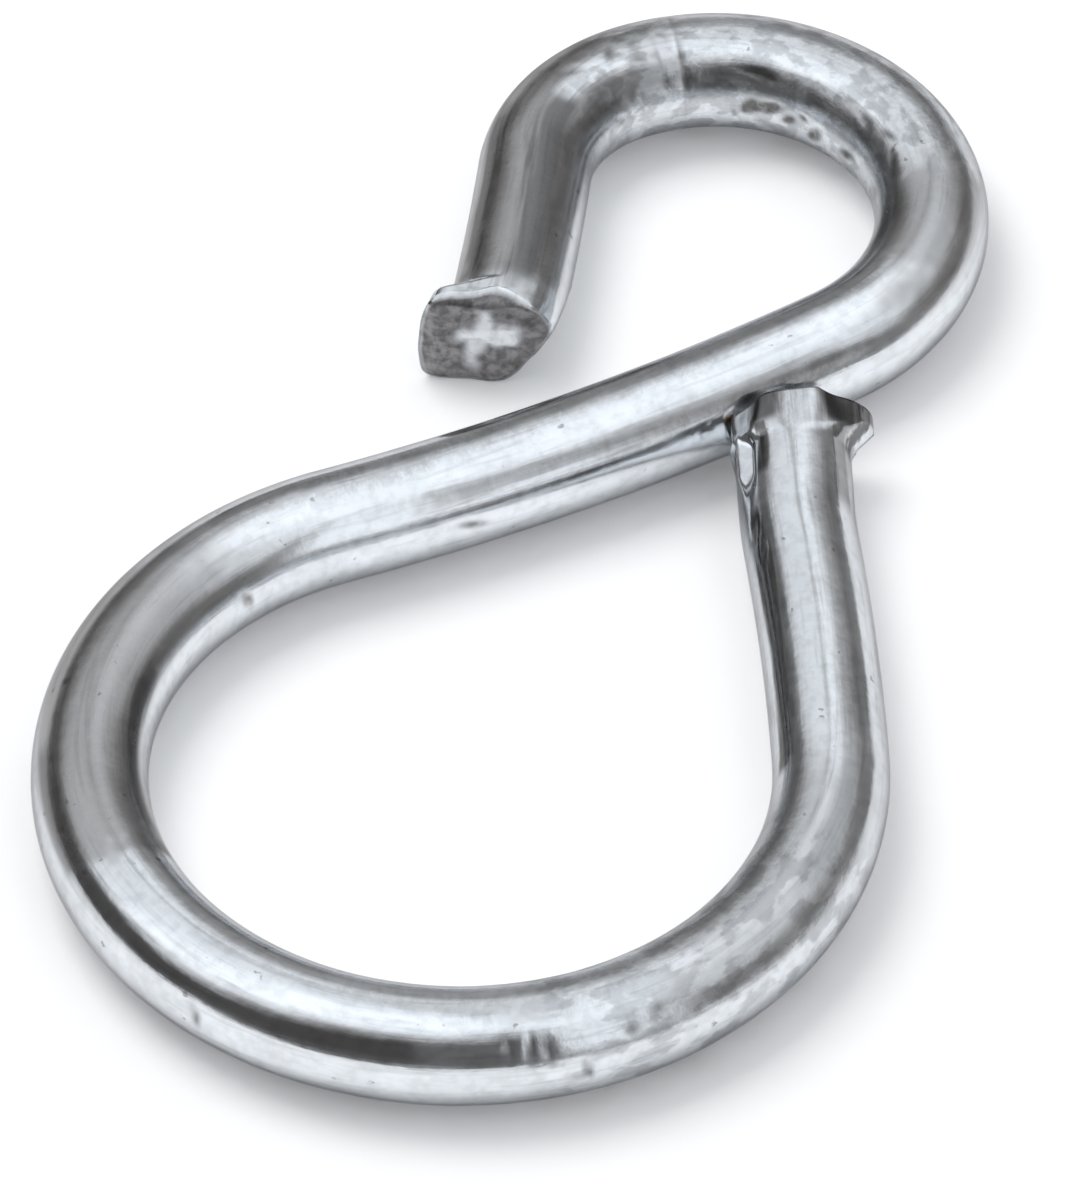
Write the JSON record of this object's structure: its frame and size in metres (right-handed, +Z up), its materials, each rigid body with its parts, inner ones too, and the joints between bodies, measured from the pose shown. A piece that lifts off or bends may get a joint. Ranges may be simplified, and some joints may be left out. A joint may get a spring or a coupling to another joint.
{
  "type": "s hook",
  "caption": "S hook bent from round plated steel wire, with a large eye closed against its shank and a small open hook; hangs things from chain, rod or wire",
  "frame": {"origin": "The centre of the closed eye, on the mid-plane of the wire.", "axes": "+Y runs along the line of pull, from the centre of the eye to the centre of the open hook. +Z is up as the hook lies flat, square to the plane that the wire is bent in. +X is to the right of the shank, on the side of the leg that closes the eye."},
  "size_m": [0.0362, 0.065, 0.005],
  "materials": {
    "plated_wire": "bright zinc plating on drawn steel wire, with grey tool marks where it was bent and sheared"
  },
  "bodies": {
    "root": {"s_hook": "plated_wire"}
  },
  "joints": []
}
